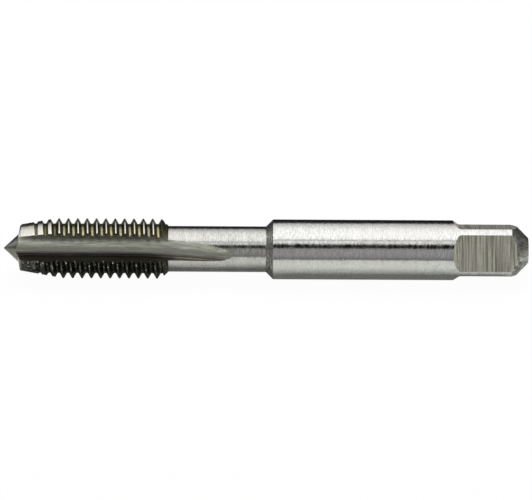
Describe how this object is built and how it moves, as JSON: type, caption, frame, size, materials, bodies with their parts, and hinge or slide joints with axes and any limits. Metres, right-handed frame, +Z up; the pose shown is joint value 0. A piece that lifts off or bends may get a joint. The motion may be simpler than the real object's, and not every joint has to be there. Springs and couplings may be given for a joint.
{
  "type": "thread tap",
  "caption": "Straight-flute machine tap for metric thread, with a male centre at its nose, a recessed neck, a round shank and a square drive end.",
  "frame": {"origin": "on the tap's axis, in the middle of its length", "axes": "+X along the axis from the nose to the square end, +Z up, with one flute facing straight down"},
  "size_m": [0.07, 0.008, 0.008],
  "materials": {
    "tool_steel": "bright ground tool steel, with fine grinding marks across the shank and flats and along the flutes"
  },
  "bodies": {
    "root": {"tap": "tool_steel"}
  },
  "joints": []
}
